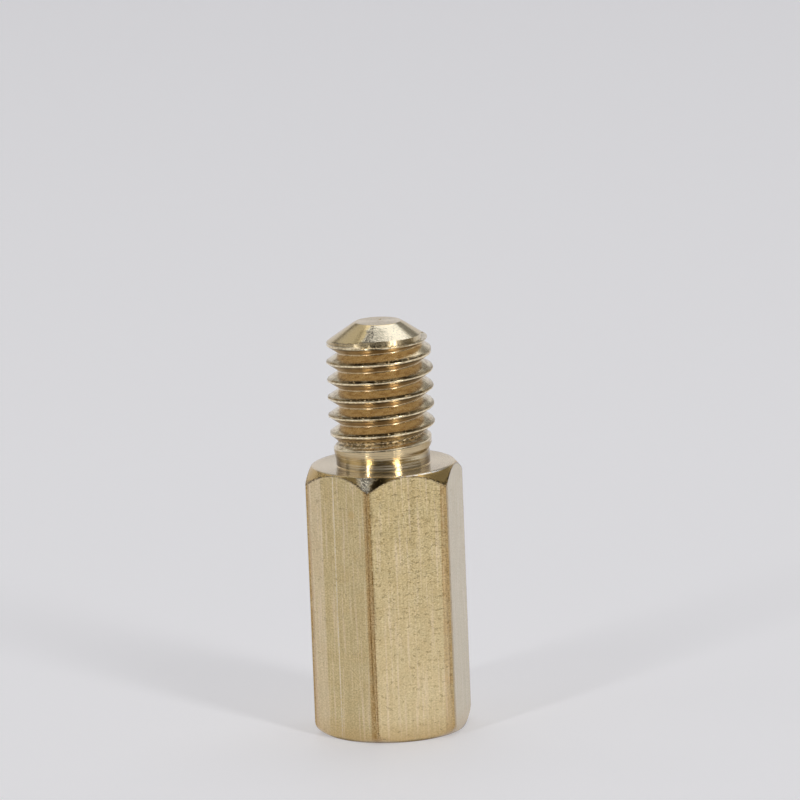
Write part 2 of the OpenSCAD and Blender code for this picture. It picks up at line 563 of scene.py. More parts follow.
# %% [markdown]
# ### The flats
#
# Between the crown and the foot chamfer the skin is simply the drawn bar. Its UV map holds distance
# across the flat and height, both in millimetres, with each flat moved 10 mm along so that no two
# flats wear the same streaks.

# %% Build the flats
foot_bar = [bar_spoke(index, 0.0) for index in range(spoke_count)]
foot_deg = np.array([degrees for degrees, radius in foot_bar])
foot_r = np.array([radius for degrees, radius in foot_bar])
foot_edge_z = (foot_r - land_r) * foot_slope * 1.2 + 0.005 * uneven(foot_deg * 0.08, 0.15, 41)
flat_rings = [crown_rings[-1]]
flat_rows = 14
flat_degrees, flat_heights = [top_deg], [edge_z]
for row in range(1, flat_rows + 1):
    share = row / flat_rows
    heights = edge_z * (1 - share) + foot_edge_z * share
    placed = [bar_spoke(index, float(heights[index])) for index in range(spoke_count)]
    degrees = np.array([degrees for degrees, radius in placed])
    radii = np.array([radius for degrees, radius in placed])
    flat_rings.append(close(add_ring(ring_points(radii, heights, degrees))))
    flat_degrees.append(degrees)
    flat_heights.append(heights)

# The foot chamfer, bulged a little outward as a worn tool leaves it
for share in (0.15, 0.32, 0.5, 0.68, 0.85, 1.0):
    degrees = foot_deg + (spoke_deg - foot_deg) * share
    radii = land_r + (foot_r - land_r) * (0.95 * 2 * share * (1 - share) + (1 - share) ** 2)
    heights = foot_edge_z * (0.42 * 2 * share * (1 - share) + (1 - share) ** 2) + 0.006 * share
    flat_rings.append(close(add_ring(ring_points(radii, heights, degrees))))
    flat_degrees.append(degrees)
    flat_heights.append(heights)

flat_count = spoke_count // 6
for face in range(6):
    spokes = list(range(face * flat_count, (face + 1) * flat_count + 1))
    middle = face_middle_deg[face]
    numbers, uvs = [], []
    for row, ring in enumerate(flat_rings):
        numbers.append([ring[spoke] for spoke in spokes])
        row_uvs = []
        for spoke in spokes:
            index = spoke % spoke_count
            degrees = flat_degrees[row][index] + (360 if spoke == spoke_count else 0)
            across = half_flats * math.tan(math.radians(max(-30, min(30, degrees - middle))))
            row_uvs.append((face * 10 + 5 + across, flat_heights[row][index]))
        uvs.append(row_uvs)
    offsets = np.append(spoke_deg, 360)[spokes] - middle
    column_finish = ["burnished" if abs(a + b) / 2 > crease_spoke else "drawn"
                     for a, b in zip(offsets, offsets[1:])]
    add_quads(numbers, uvs, column_finish)
print("flats built, with", len(flat_rings), "rows")

# %% [markdown]
# ### Foot and tapped hole
#
# The foot is faced and chamfered as the crown is. In its middle is a drilled hole with a countersunk
# mouth, tapped to the stud's own thread, so that standoffs of this kind screw into one another. The
# tap leaves flat crests at the drilled radius and a groove half a millimetre deep, and the thread
# fades out before the drill's cone. It is hidden while the standoff stands, and every second spoke is
# enough for it.

# %% Build the foot
sink_r = 3.1
foot_face = [(land_r - 0.01, 0.0), (3.8, 0.0), (3.5, 0.0), (3.25, 0.0), (sink_r + 0.01, 0.0)]
face_rings = [flat_rings[-1]]
for radius, z in foot_face:
    face_rings.append(close(add_ring(ring_points(radius, z))))
add_quads(face_rings, [ring_uvs(12 + land_r)] + [ring_uvs(12 + r) for r, z in foot_face], "turned")

half_deg = spoke_deg[::2]
half_count = len(half_deg)
half_turn_mm = np.append(half_deg, 360.0) / 360 * 10
mouth = add_ring(ring_points(sink_r - 0.004, 0.008, half_deg))
outer = face_rings[-1]
for index in range(half_count):
    left, middle, right = outer[2 * index], outer[2 * index + 1], outer[2 * index + 2]
    near, far = mouth[index], mouth[(index + 1) % half_count]
    for corners in ([left, near, middle], [middle, near, far], [middle, far, right]):
        face_corners.append(corners)
        face_uvs.append([(half_turn_mm[index], 12 + sink_r)] * 3)
        face_finish.append("turned")
print("foot built, up to the mouth of the hole")

# %% Build the tapped hole
tap_root_r = 3.02
tap_rise = np.array([-0.43, -0.375, -0.22, -0.0625, 0.0625, 0.22, 0.375, 0.43])


def tapped_radius(angle_deg, z):
    rise = (z - angle_deg / 360 + 0.5) % pitch - 0.5
    # Full depth across the groove's flat bottom and none at its crest, fading out where the tap stopped
    depth = np.interp(np.abs(rise), [0.0625, 0.375], [1, 0])
    depth = depth * np.interp(z, [8.9, 9.9], [1, 0])
    return np.maximum(drill_r + (tap_root_r - drill_r) * depth, sink_r - z)


hole_low, hole_high = np.full(half_count, 0.06), np.full(half_count, 10.0)
tap_low = add_ring(ring_points(tapped_radius(half_deg, hole_low), hole_low, half_deg))
tap_high = add_ring(ring_points(drill_r, hole_high, half_deg))
mouth_uvs = [[(turn, 1.0) for turn in half_turn_mm], [(turn, 1.1) for turn in half_turn_mm]]
add_quads([close(mouth), close(tap_low)], mouth_uvs, "tapped")
numbers, uvs = helix_rows(tap_rise, -2, 15, half_deg[0] / 360, hole_low, hole_high,
                          tapped_radius, tap_low, tap_high, half_deg)
add_quads(numbers, uvs, "tapped")

drill_depth, point_slope = 10.5, math.tan(math.radians(90 - 118 / 2))
end_profile = [(drill_r, drill_depth)] + [(drill_r * s, drill_depth + drill_r * (1 - s) * point_slope)
                                          for s in (0.75, 0.5, 0.25)]
end_rings = [close(tap_high)]
for radius, z in end_profile:
    end_rings.append(close(add_ring(ring_points(radius, z, half_deg))))
point_of_drill = add_ring([(0, 0, drill_depth + drill_r * point_slope)])[0]
end_rings.append([point_of_drill] * (half_count + 1))
end_uvs = [[(turn, 20 + row * 0.5) for turn in half_turn_mm] for row in range(len(end_rings))]
add_quads(end_rings, end_uvs, "tapped")
print("hole built;", len(points), "points and", len(face_corners), "faces in all")

# %% [markdown]
# ## One closed mesh
#
# Every point is turned into metres here. The mesh is shaded smooth, because its curves should look
# round, and is then told to stay sharp wherever two faces meet at more than 30 degrees and along the
# clean inner edges of the bar's corner bands, which are too shallow for that rule.

# %% Make the mesh object
skin = bpy.data.meshes.new("standoff_skin")
skin.from_pydata([tuple(c * MM for c in point) for point in points], [], face_corners)
skin.polygons.foreach_set("material_index", [FINISHES.index(finish) for finish in face_finish])
uv_layer = skin.uv_layers.new(name="surface_mm")
uv_layer.data.foreach_set("uv", [float(c) for uvs in face_uvs for uv in uvs for c in uv])
skin.shade_smooth()
skin.set_sharp_from_angle(angle=math.radians(30))

shape = bmesh.new()
shape.from_mesh(skin)
shape.verts.ensure_lookup_table()
crease_columns = [index for index in range(spoke_count)
                  if abs(abs(spoke_deg[index] - face_middle_deg[spoke_face[index]]) - crease_spoke) < 1e-6]
for column in crease_columns:
    for upper, lower in zip(flat_rings[:flat_rows + 1], flat_rings[1:flat_rows + 1]):
        edge = shape.edges.get((shape.verts[upper[column]], shape.verts[lower[column]]))
        if edge:
            edge.smooth = False
unused = [vertex for vertex in shape.verts if not vertex.link_faces]
bmesh.ops.delete(shape, geom=unused, context="VERTS")
open_edges = [edge for edge in shape.edges if len(edge.link_faces) != 2]
volume = shape.calc_volume(signed=True) / MM ** 3
triangles = sum(len(face.verts) - 2 for face in shape.faces)
shape.to_mesh(skin)
shape.free()
skin.update()
print("open edges", len(open_edges), "volume", round(volume, 1), "mm3, triangles", triangles,
      "crease columns", len(crease_columns))

standoff = bpy.data.objects.new("standoff_visual", skin)
bpy.context.scene.collection.objects.link(standoff)
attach(standoff, "root")
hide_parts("standoff")

# %% [markdown]
# ## Colour and node helpers
#
# Colours are written as sRGB hex, the way a colour picker shows them, and one function turns them
# into the linear values that a renderer works in. One more function adds a node and hands back its
# first output. It takes the node's kind, followed by its operation where it has one, then its inputs
# in order, or a table of them by name, and last its settings. An input that is a socket is linked, and
# a plain one is set. Each new finish comes with that function already tied to its own nodes, as `add`.

# %% Helpers for finishes
def colour(hex_code):
    parts = [int(hex_code[i:i + 2], 16) / 255 for i in (1, 3, 5)]
    return tuple([c / 12.92 if c <= 0.04045 else ((c + 0.055) / 1.055) ** 2.4 for c in parts] + [1.0])


def add_node(tree, kind, *values, **settings):
    kind, _, operation = kind.partition(" ")
    made = tree.nodes.new("ShaderNode" + kind)
    if operation:
        made.operation = operation
    for name, value in settings.items():
        setattr(made, name, value)
    if values and isinstance(values[0], dict):
        filled = [(made.inputs[name], value) for name, value in values[0].items()]
    else:
        filled = zip([socket for socket in made.inputs if socket.enabled], values, strict=False)
    for socket, value in filled:
        if isinstance(value, bpy.types.NodeSocket):
            tree.links.new(value, socket)
        else:
            socket.default_value = value
    return next((socket for socket in made.outputs if socket.enabled), None)


def new_finish(name):
    finish = bpy.data.materials.new(name)
    finish.use_nodes = True
    finish.node_tree.nodes.clear()
    return finish, functools.partial(add_node, finish.node_tree)


print("brass as linear colour:", [round(c, 3) for c in colour("#EDD6A8")])

# %% [markdown]
# ## Patterns and layers
#
# Three small recipes are enough for every finish here. A window picks out a stretch of the surface. A
# noise takes the number of its features per millimetre, so that a pattern's size can be read off a
# ruler. The UV map is in millimetres already, and object coordinates are in metres, so those get 1000
# times as many. A finish's colour is then a stack of thin layers, each with the share of 0 to 1 by
# which it covers what lies under it.

# %% Helpers for patterns
PER_MM = 1000.0
print("one feature in each millimetre is", PER_MM, "in a metre")


def window(add, value, start, end, soft):
    """1 between start and end, 0 outside, with soft sides."""
    return add("Math MULTIPLY", add("MapRange", value, start - soft, start + soft),
               add("MapRange", value, end - soft, end + soft, 1.0, 0.0))


def noise_mm(add, place, features, detail=2.0):
    """Noise with its own number of features per unit of the place along each axis."""
    stretched = add("Mapping", {"Vector": place, "Scale": features})
    return add("TexNoise", {"Vector": stretched, "Scale": 1.0, "Detail": detail})


def layered(add, base, layers):
    """Lays colours over a base, each by its own share."""
    for share, hex_code in layers:
        base = add("Mix", share, base, colour(hex_code), data_type="RGBA")
    return base


def wear(finish, shader, add):
    """Closes a finish and gives it to the standoff."""
    add("OutputMaterial", shader)
    skin.materials.append(finish)
    print(finish.name, "made with", len(finish.node_tree.nodes), "nodes")


# %% [markdown]
# ## Marks on the flats
#
# Loose in a bin, the standoffs knock against each other and chip. A chip is drawn as a short piece of
# a contour line of one noise, about 0.2 mm long, let through where a second noise is high, and a few
# round pits come from a third. The flat that faces the camera most squarely has the most of them, with
# a crowded column near its middle, and all flats have more near the top than near the foot. The flats
# lie 10 mm apart in the UV map, so a place along the bar says which flat it is on.

# %% Chips and pits
LEFT_FLAT, MIDDLE_FLAT, RIGHT_FLAT = 30.0, 40.0, 50.0


def chips_and_pits(add, surface, along_bar, height):
    scuffed_and_lit_flat = window(add, along_bar, MIDDLE_FLAT + 2.6, MIDDLE_FLAT + 7.2, 0.15)
    column = window(add, along_bar, MIDDLE_FLAT + 5.12, MIDDLE_FLAT + 5.38, 0.12)
    crowding = add("Math MULTIPLY_ADD", scuffed_and_lit_flat, 0.070, -0.015)
    in_column = add("Math MULTIPLY", column, add("MapRange", height, 3, 10, 0.0, 0.06))
    crowding = add("Math ADD", crowding, in_column)
    crowding = add("Math ADD", crowding, add("MapRange", height, 2.0, 13.0, -0.040, 0.020))

    contour = noise_mm(add, surface, (3.5, 6.6, 1))
    stroke = add("Math ABSOLUTE", add("Math SUBTRACT", contour, 0.5))
    stroke = add("MapRange", stroke, 0.006, 0.038, 1.0, 0.0)
    let_through = noise_mm(add, surface, (2.7, 3.9, 3))
    passed = add("MapRange", add("Math ADD", let_through, crowding), 0.585, 0.635)
    pits = noise_mm(add, surface, (7.0, 11.0, 5))
    pitted = add("MapRange", add("Math ADD", pits, crowding), 0.71, 0.76)
    return scuffed_and_lit_flat, add("Math MAXIMUM", add("Math MULTIPLY", stroke, passed), pitted)


print("chips on the middle flat, from", MIDDLE_FLAT + 2.6, "to", MIDDLE_FLAT + 7.2, "mm along the map")

# %% [markdown]
# ## Drawn brass
#
# The flats are bare free-cutting brass as the drawing die left it. The die's tiny flaws score it
# lengthwise, which spreads reflections sideways, so the flats look satin and hold no mirror image.
# As on any bare metal, metallic is 1 and the IOR stays at its default, and roughness starts from 0.4,
# which is typical of drawn brass.
#
# Real scores are a few hundredths of a millimetre wide. That is too fine to show, so they are drawn
# 0.07 mm wide and 5 mm long, with coarser threads of 0.17 mm over them, paler or darker, that stop
# short of the corner bands. A grain of 0.1 mm and soft clouds of about a millimetre, some of them
# olive, break up the rest.
#
# The pale film is dried coolant from the lathe, as a rough clear coat. It whitens the metal where it
# is seen at a glancing angle, and is missing on chips and worn corners. Dirt sits in the chips and
# along the scalloped edge under the crown. Towards the foot the brass is painted darker and more
# golden, and dark brown in a thin line at the very bottom: painted shade from the shaded card under
# the foot chamfer. The middle flat is painted paler towards its foot, and the right flat greyer and
# paler, as painted reflections of the white card around them.

# %% Finish for the flats
def drawn_finish(name, pale, deep, dark, rough_low, rough_high):
    finish, add = new_finish(name)
    surface = add("UVMap", uv_map="surface_mm")
    parts = add("SeparateXYZ", surface).node.outputs
    along_bar, height = parts["X"], parts["Y"]
    scores = noise_mm(add, surface, (15.0, 0.20, 1))
    threads = noise_mm(add, surface, (6.0, 0.22, 1))
    clouds = noise_mm(add, surface, (1.1, 0.9, 1), 3.0)
    olive = noise_mm(add, surface, (0.8, 1.3, 4))
    grain = noise_mm(add, surface, (8.0, 11.0, 1), 3.0)
    scuffed_and_lit_flat, marks = chips_and_pits(add, surface, along_bar, height)

    # Where things are: distance from the flat's own middle, worn corners, and the edge under the crown
    across = add("Math SUBTRACT", add("Math MODULO", along_bar, 10.0), 5.0)
    from_middle = add("Math ABSOLUTE", across)
    off_band = add("MapRange", from_middle, 1.95, 2.10, 1.0, 0.25)
    front_corner = window(add, along_bar, LEFT_FLAT + 7.0, MIDDLE_FLAT + 2.95, 0.05)
    worn = add("Math MULTIPLY", add("MapRange", from_middle, 2.00, 2.20),
               add("MapRange", grain, 0.44, 0.58, 0.20, 1.0))
    worn = add("Math MULTIPLY", worn, add("MapRange", front_corner, 0.0, 1.0, 0.25, 1.0))
    scratch = add("Math MULTIPLY", window(add, along_bar, LEFT_FLAT + 4.755, LEFT_FLAT + 4.805, 0.025),
                  add("MapRange", grain, 0.44, 0.56, 0.15, 0.80))
    from_stain = add("VectorMath DISTANCE", surface, (LEFT_FLAT + 6.10, 12.90, 0.0))
    slant = add("Math SQRT", add("Math ADD", add("Math MULTIPLY", across, across), half_flats ** 2))
    scallop = add("Math SUBTRACT", body_z + land_r * crown_slope, add("Math MULTIPLY", slant, crown_slope))
    below_scallop = add("Math SUBTRACT", scallop, height)
    rim_chips = add("Math MULTIPLY", add("MapRange", below_scallop, 0.03, 0.09, 1.0, 0.0),
                    add("MapRange", grain, 0.42, 0.54, 0.25, 0.85))

    base = layered(add, colour(deep), [
        (add("MapRange", clouds, 0.36, 0.64, 0.15, 0.85), pale),
        (add("MapRange", olive, 0.42, 0.62, 0.0, 0.30), "#DBCE9A"),
        (add("MapRange", grain, 0.38, 0.62, 0.0, 0.60), dark),
        (add("MapRange", scores, 0.35, 0.65, 0.0, 0.20), dark),
        (add("Math MULTIPLY", add("MapRange", threads, 0.52, 0.68, 0.0, 0.30), off_band), "#FFE8CC"),
        (add("Math MULTIPLY", add("MapRange", threads, 0.46, 0.32, 0.0, 0.20), off_band), dark),
        # A band rubbed pale, one long scratch beside it and a small round stain, all on the left flat
        (add("Math MULTIPLY", window(add, along_bar, LEFT_FLAT + 2.85, LEFT_FLAT + 3.88, 0.04), 0.26),
         "#FFEBD2"),
        (scratch, "#FFF6E2"),
        (add("MapRange", from_stain, 0.18, 0.26, 0.45, 0.0), "#CBA75C"),
        # Painted reflection: the middle flat is painted paler towards its foot, for the brighter card it
        # mirrors there
        (add("Math MULTIPLY", scuffed_and_lit_flat, add("MapRange", height, 2.0, 12.0, 0.25, 0.0)), "#FFE9BE"),
        # The right flat is painted greyer and paler: a painted sheen, for the white it mirrors at a glancing
        # angle
        (add("Math MULTIPLY", window(add, along_bar, RIGHT_FLAT, RIGHT_FLAT + 10.0, 0.01), 0.36), "#CFC8B4"),
        # Painted shade: darker and more golden towards the foot, for the shaded card under the foot chamfer
        (add("MapRange", height, 0.15, 1.3, 0.45, 0.0), "#C0994E"),
        (add("Math MULTIPLY", worn, 0.45), "#7C5A28"),
        (add("Math MULTIPLY", marks, 0.46), "#6E5624"),
        (rim_chips, "#5A4318"),
        # Painted shade: dark brown in a thin line at the very bottom, where the foot meets the card
        (add("MapRange", height, 0.02, 0.16, 0.90, 0.0), "#3E2C10")])

    fine = add("Bump", {"Height": add("Math ADD", scores, grain), "Distance": 0.005 * MM, "Strength": 1.0})
    dented = add("Bump", {"Height": marks, "Distance": 0.009 * MM, "Strength": 1.0, "Normal": fine},
                 invert=True)
    shader = add("BsdfPrincipled", {
        "Base Color": base, "Metallic": 1.0,
        "Roughness": add("MapRange", scores, 0.3, 0.7, rough_low, rough_high),
        "Coat Weight": add("MapRange", add("Math MAXIMUM", marks, worn), 0.0, 1.0, 1.0, 0.20),
        "Coat Roughness": 0.25, "Coat IOR": 1.7, "Anisotropic": 0.4, "Normal": dented,
        "Tangent": add("Tangent", direction_type="RADIAL", axis="Z")})
    wear(finish, shader, add)


drawn_finish("drawn_brass", "#EED8A0", "#DEC589", "#AB9154", 0.34, 0.46)

# %% [markdown]
# ## Burnished corners
#
# The narrow bands beside the corners have rubbed harder along the die, and later along other parts in
# the bin. They are the same brass, but smoother, yellower and more worn, with dirt in their chips.

# %% Finish for the corner bands
drawn_finish("burnished_brass", "#D8B676", "#C9A562", "#8F6D32", 0.28, 0.40)

# %% [markdown]
# ## Turned brass
#
# Tip, shoulder and foot were cut by a tool that fed a little further with every turn. Its rings are
# far too fine to count, so they are drawn about 0.08 mm apart. They smear each highlight across the
# rings into a long streak, which is what makes turned metal look turned. A tangent that runs round the
# axis, with the stretch turned by a quarter, gives that streak. A sharp tool leaves a roughness of 0.2
# to 0.3, and dried coolant lies over it as a thin clear coat. The UV map of these faces counts tenths
# of a turn one way and millimetres along the cut the other way. A beaded near-white line on part of
# the shoulder's rim is a painted highlight.

# %% Finish for the turned faces
def turned_parts(name):
    """A new finish, its place in tenths of a turn and along the cut, its rings and its grain."""
    finish, add = new_finish(name)
    surface = add("UVMap", uv_map="surface_mm")
    parts = add("SeparateXYZ", surface).node.outputs
    place = add("TexCoord").node.outputs["Object"]
    rings = noise_mm(add, surface, (0.15, 12.0, 1), 3.0)
    grain = noise_mm(add, place, (9 * PER_MM,) * 3, 3.0)
    return finish, add, parts["X"], parts["Y"], place, rings, grain


def turned_shader(add, normal, inputs):
    return add("BsdfPrincipled", {
        "Metallic": 1.0, "Anisotropic Rotation": 0.25, "Normal": normal, "Coat Normal": normal,
        "Tangent": add("Tangent", direction_type="RADIAL", axis="Z")} | inputs)


finish, add, around, along, place, rings, grain = turned_parts("turned_brass")
# Painted highlight: a near-white beaded line on part of the shoulder's rim
rim_highlight = add("Math MULTIPLY", window(add, along, 5.39, 5.60, 0.01), window(add, around, 7.10, 8.60, 0.2))
base = layered(add, colour("#EDD4A0"), [
    (add("MapRange", grain, 0.55, 0.72, 0.0, 0.25), "#B4945A"),
    (add("Math MULTIPLY", rim_highlight, add("MapRange", grain, 0.42, 0.50)), "#FFFAF0")])
ringed = add("Bump", {"Height": rings, "Distance": 0.004 * MM, "Strength": 1.0})
wear(finish, turned_shader(add, ringed, {
    "Base Color": base, "Roughness": add("MapRange", rings, 0.3, 0.7, 0.20, 0.30), "Anisotropic": 0.85,
    "Coat Weight": 0.9, "Coat Roughness": 0.12, "Coat IOR": 1.5}), add)

# %% [markdown]
# ## The neck
#
# On the neck the tool fed faster, so its rings are deep enough to break the streaks of light into
# beads, and deeper still on the step of plain blank above it. The neck is painted darker at its foot,
# where it meets the shoulder, and under the edge of the blank: painted shade. Its two sides, turned
# away from the camera, are painted dark and dull, with little of the clear coat left: painted shade too.

# %% Finish for the neck
finish, add, around, along, place, rings, grain = turned_parts("necked_brass")
# How far round from the camera's side, as a share of a turn: 0 there and 0.5 behind
off_front_share = add("Math MULTIPLY", add("Math ADD", around, 5 - front_deg / 36), 0.1)
off_front_share = add("Math ABSOLUTE", add("Math SUBTRACT", add("Math FRACT", off_front_share), 0.5))
# Painted shade: the neck's two sides, turned away from the camera, are darkened and lose most of their coat
side_shade = add("Math MULTIPLY", add("MapRange", off_front_share, 0.13, 0.19),
            add("MapRange", off_front_share, 0.24, 0.36, 1.0, 0.0))
# Painted shade under the edge of the blank, on the right
under_edge_shade = add("Math MULTIPLY", window(add, along, 15.79, 15.94, 0.02),
                      window(add, around, 7.95, 9.60, 0.20))
base = layered(add, colour("#F1E0B8"), [
    (add("MapRange", grain, 0.55, 0.72, 0.0, 0.25), "#B4945A"),
    # Painted shade: darker towards the neck's foot, where it meets the shoulder
    (add("MapRange", along, 15.02, 15.45, 0.60, 0.0), "#6E562B"),
    (add("MapRange", rings, 0.50, 0.66, 0.0, 0.14), "#B0925A"),
    (add("Math MULTIPLY", side_shade, 0.86), "#5E4822"),
    (add("Math MULTIPLY", under_edge_shade, 0.92), "#3A290E"),
    (add("MapRange", along, 15.55, 15.75, 0.0, 0.70), "#C2A468")])
rings = add("Math MULTIPLY", rings, add("MapRange", along, 15.45, 15.65, 1.0, 1.7))
ringed = add("Bump", {"Height": rings, "Distance": 0.013 * MM, "Strength": 1.0})
wear(finish, turned_shader(add, ringed, {
    "Base Color": base, "Roughness": add("MapRange", rings, 0.3, 0.7, 0.10, 0.18), "Anisotropic": 0.80,
    "Coat Weight": add("MapRange", side_shade, 0.0, 1.0, 1.0, 0.05), "Coat Roughness": 0.18,
    "Coat IOR": 2.0}), add)

# %% [markdown]
# ## The chamfers
#
# The chamfers were cut by a broad form tool that chattered. It tore the metal over one side of the
# tip, along the crown's lower edge, and at the hexagon's front corner. Torn metal is a heap of tiny
# facets, finer than the grain of 0.1 mm drawn here. On the tip it breaks the light into sparks. The
# corner is so rough that it scatters light as chalk does, so most of its metal gloss is taken away.
# Dark specks of swarf and dirt lie in both, thickest where the tool first bit. Beside the corner, on
# the crown, dark crumbs are painted over most of a strip: soot, and a painted dark reflection. In the
# UV map the tip's cone runs from 2 to 3 along the cut, and the crown's from 7 to 8.

# %% Finish for the chamfers
finish, add, around, along, place, rings, grain = turned_parts("chamfered_brass")
coarse = noise_mm(add, place, (3.2 * PER_MM,) * 3)
crumbs = noise_mm(add, place, (8.5 * PER_MM,) * 3)
fine_grain = noise_mm(add, place, (14 * PER_MM, 14 * PER_MM, 20 * PER_MM))
wobble = add("Math MULTIPLY_ADD", coarse, 0.5, -0.25)
torn_from = add("Math ADD", around, wobble)
on_crown = add("MapRange", along, 6.0, 7.0)
on_tip = add("MapRange", along, 3.0, 4.0, 1.0, 0.0)
torn_side = add("Math MULTIPLY", add("MapRange", torn_from, 6.36, 6.54),
                add("MapRange", torn_from, 8.20, 9.30, 1.0, 0.0))
front_corner = window(add, add("Math ADD", around, add("Math MULTIPLY", wobble, 0.5)), 6.44, 6.77, 0.10)
torn_corner = add("Math MULTIPLY", front_corner, on_crown)
torn = add("Math MAXIMUM", add("Math MULTIPLY", torn_side, on_tip), torn_corner)
print("torn places laid out with", len(finish.node_tree.nodes), "nodes")

# %% Specks, chips and gloss of the chamfers
first_bite = window(add, torn_from, 6.40, 6.76, 0.08)
speck_crowding = add("MapRange", add("Math MAXIMUM", first_bite, on_crown), 0.0, 1.0, 0.0, 0.15)
specks = add("Math MULTIPLY", torn,
             add("MapRange", add("Math ADD", fine_grain, speck_crowding), 0.58, 0.66))
specks = add("Math MULTIPLY", specks, add("MapRange", first_bite, 0.0, 1.0, 0.50, 0.80))
corner_specks = add("Math MULTIPLY", add("MapRange", crumbs, 0.52, 0.57, 0.0, 0.97),
                    add("MapRange", around, 6.50, 6.76, 0.80, 1.0))
specks = add("Math MAXIMUM", specks, add("Math MULTIPLY", torn_corner, corner_specks))
# Painted dark reflection, with soot in it: the crown nearly black just beside the front corner
soot_and_dark_reflection = add("Math MULTIPLY", window(add, around, 6.74, 7.10, 0.08), on_crown)
soot_and_dark_reflection = add("Math MULTIPLY", soot_and_dark_reflection, add("MapRange", crumbs, 0.36, 0.42, 0.2, 0.88))
specks = add("Math MAXIMUM", specks, soot_and_dark_reflection)
tip_edge = add("Math MULTIPLY", window(add, along, 2.94, 3.05, 0.03), window(add, around, 5.0, 6.8, 0.2))
edges = add("Math MAXIMUM", window(add, along, 7.80, 9.0, 0.10), tip_edge)
chipped = add("Math MULTIPLY", edges, add("MapRange", grain, 0.43, 0.53, 0.0, 0.85))
base = layered(add, colour("#E2CA94"), [
    (add("MapRange", grain, 0.55, 0.72, 0.0, 0.25), "#B4945A"),
    (add("MapRange", along, 6.0, 7.0, 0.0, 0.85), "#D6B472"),
    (add("Math MULTIPLY", torn, add("MapRange", along, 6.0, 7.0, 0.85, 1.0)), "#FAF1DA"),
    (add("Math MAXIMUM", specks, chipped), "#3C2D13")])

ringed = add("Bump", {"Height": rings, "Distance": 0.004 * MM, "Strength": 1.0})
rugged = add("Math MULTIPLY", grain, add("MapRange", torn, 0.0, 1.0, 0.12, 1.0))
rugged = add("Math MULTIPLY", rugged, add("MapRange", along, 6.0, 7.0, 1.0, 2.6))
rugged = add("Bump", {"Height": rugged, "Distance": 0.010 * MM, "Strength": 1.0, "Normal": ringed})
rough = add("Math ADD", add("MapRange", rings, 0.3, 0.7, 0.17, 0.27),
            add("Math MULTIPLY", torn_corner, 0.12))
wear(finish, turned_shader(add, rugged, {
    "Base Color": base, "Metallic": add("MapRange", torn_corner, 0.0, 1.0, 1.0, 0.15),
    "Roughness": rough, "Anisotropic": 0.5, "Coat Weight": add("MapRange", along, 6.0, 7.0, 0.6, 0.05),
    "Coat Roughness": 0.12, "Coat IOR": 1.5}), add)

# %% [markdown]
# ## Rolled brass
#
# The rolling dies burnish the flanks, so light runs from flank to flank and picks up the brass colour
# at each bounce: the grooves glow orange while the crests stay pale. The UV map holds the distance
# along the thread and the height above the crest, so one colour ramp can paint the whole profile, from
# the middle of the groove below a crest to the middle of the groove above it. The ramp paints the flank
# below each crest darker than the one above it, and dark brown just under the crest: painted shade.
#
# The torn seam along the crest and the rough bottom of the last groove are painted dark, with bright
# raw metal showing through in sparks: oil in the last groove, oil and painted shade in the seam. Real
# tear marks are a few hundredths of a millimetre long. The sparks are 0.1 to 0.2 mm, so that they show.
# The seam is painted darkest on the side that faces the camera, a painted reflection of the dark cards
# behind the camera.

# %% Paint the thread's profile
finish, add = new_finish("rolled_brass")
surface = add("UVMap", uv_map="surface_mm")
parts = add("SeparateXYZ", surface).node.outputs
along_thread, rise = parts["X"], parts["Y"]
# Painted shade: the lower flank is darker than the upper one, and dark brown just under each crest
PROFILE_COLOURS = [(-0.50, "#BC9E70"), (-0.46, "#B4986C"), (-0.24, "#B4986C"), (-0.18, "#80643E"),
                   (-0.12, "#553C1E"), (-0.10, "#FDEDC8"), (0.005, "#FDEDC8"), (0.03, "#C9AE7C"),
                   (0.12, "#FBEAC4"), (0.18, "#FDEDC8"), (0.46, "#FDEDC8"), (0.49, "#BC9E70")]
ramp = add("ValToRGB", add("MapRange", rise, -0.5, 0.5)).node
stops = ramp.color_ramp.elements
while len(stops) < len(PROFILE_COLOURS):
    stops.new(0.5)
for stop, (stop_rise, hex_code) in zip(stops, PROFILE_COLOURS):
    stop.position = stop_rise + 0.5
    stop.color = colour(hex_code)
print("profile painted with", len(stops), "colours")

# %% Find the seam and the last groove
turns_up = add("Math DIVIDE", along_thread, full_turn_mm)
groove = add("Math ADD", turns_up, add("Math MULTIPLY", add("Math SIGN", rise), 0.5))
off_front_share = add("Math FRACT", add("Math ADD", turns_up, 0.5 - front_crest_z))
off_front_share = add("Math ABSOLUTE", add("Math SUBTRACT", off_front_share, 0.5))
patches_and_front_shade = add("MapRange", noise_mm(add, surface, (0.9, 1.0, 1)), 0.36, 0.52, 0.72, 1.0)
# Painted reflection: the seam is made darker on the side that faces the camera
patches_and_front_shade = add("Math MULTIPLY", patches_and_front_shade, add("MapRange", off_front_share, 0.08, 0.16, 1.0, 0.35))
seam = add("Math MULTIPLY", window(add, rise, 0.018, 0.15, 0.02), patches_and_front_shade)
last_groove = add("Math MULTIPLY", add("MapRange", groove, 16.10, 16.40),
                  add("MapRange", groove, 16.70, 16.95, 1.0, 0.0))
bottom = add("Math MULTIPLY", add("MapRange", add("Math ABSOLUTE", rise), 0.30, 0.38), last_groove)
torn = add("Math MAXIMUM", seam, bottom)
print("the seam lies from 0.02 to 0.15 mm above the crest's middle")

# %% Finish for the thread
place = add("TexCoord").node.outputs["Object"]
grain = noise_mm(add, place, (11 * PER_MM,) * 3, 3.0)
crumbs = noise_mm(add, place, (5.6 * PER_MM, 5.6 * PER_MM, 8.5 * PER_MM))
sparks = noise_mm(add, surface, (6.0, 9.0, 1), 1.0)
smears = noise_mm(add, surface, (2.0, 8.0, 1), 3.0)
